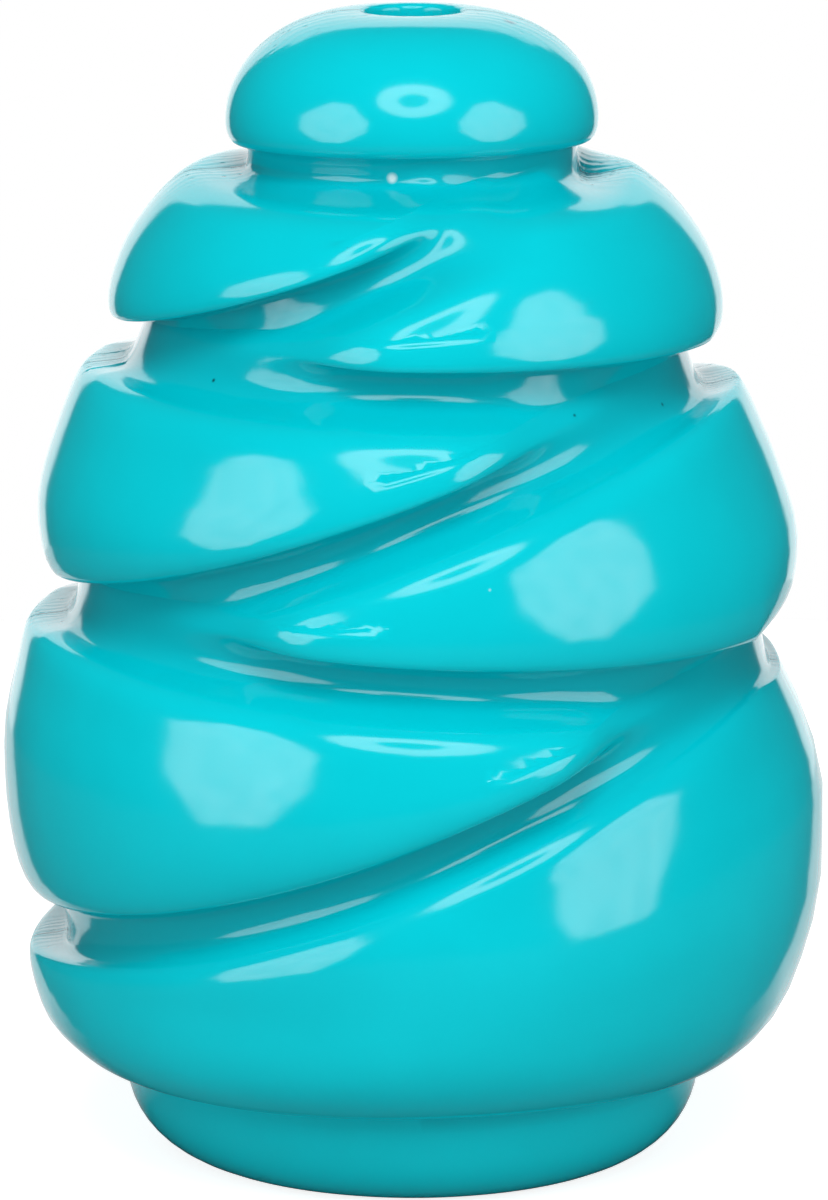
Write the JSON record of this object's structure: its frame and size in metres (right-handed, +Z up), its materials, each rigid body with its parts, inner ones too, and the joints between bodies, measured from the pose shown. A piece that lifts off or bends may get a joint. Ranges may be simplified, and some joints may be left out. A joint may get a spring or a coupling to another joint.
{
  "type": "dog treat toy",
  "caption": "Hollow rubber treat toy for dogs, with overlapping slanted lobes, a round vent hole on top and a stuffing mouth in its foot.",
  "frame": {"origin": "middle of the bottom of the part's box, on the surface that the toy stands on", "axes": "+Z up along the toy's axis, towards the vent hole; +X towards the side that the slanting grooves climb to; -Y is the pictured front"},
  "size_m": [0.0703, 0.07, 0.0982],
  "materials": {
    "turquoise_rubber": "glossy moulded rubber, coloured all through"
  },
  "bodies": {
    "root": {"rubber_body": "turquoise_rubber"}
  },
  "joints": []
}
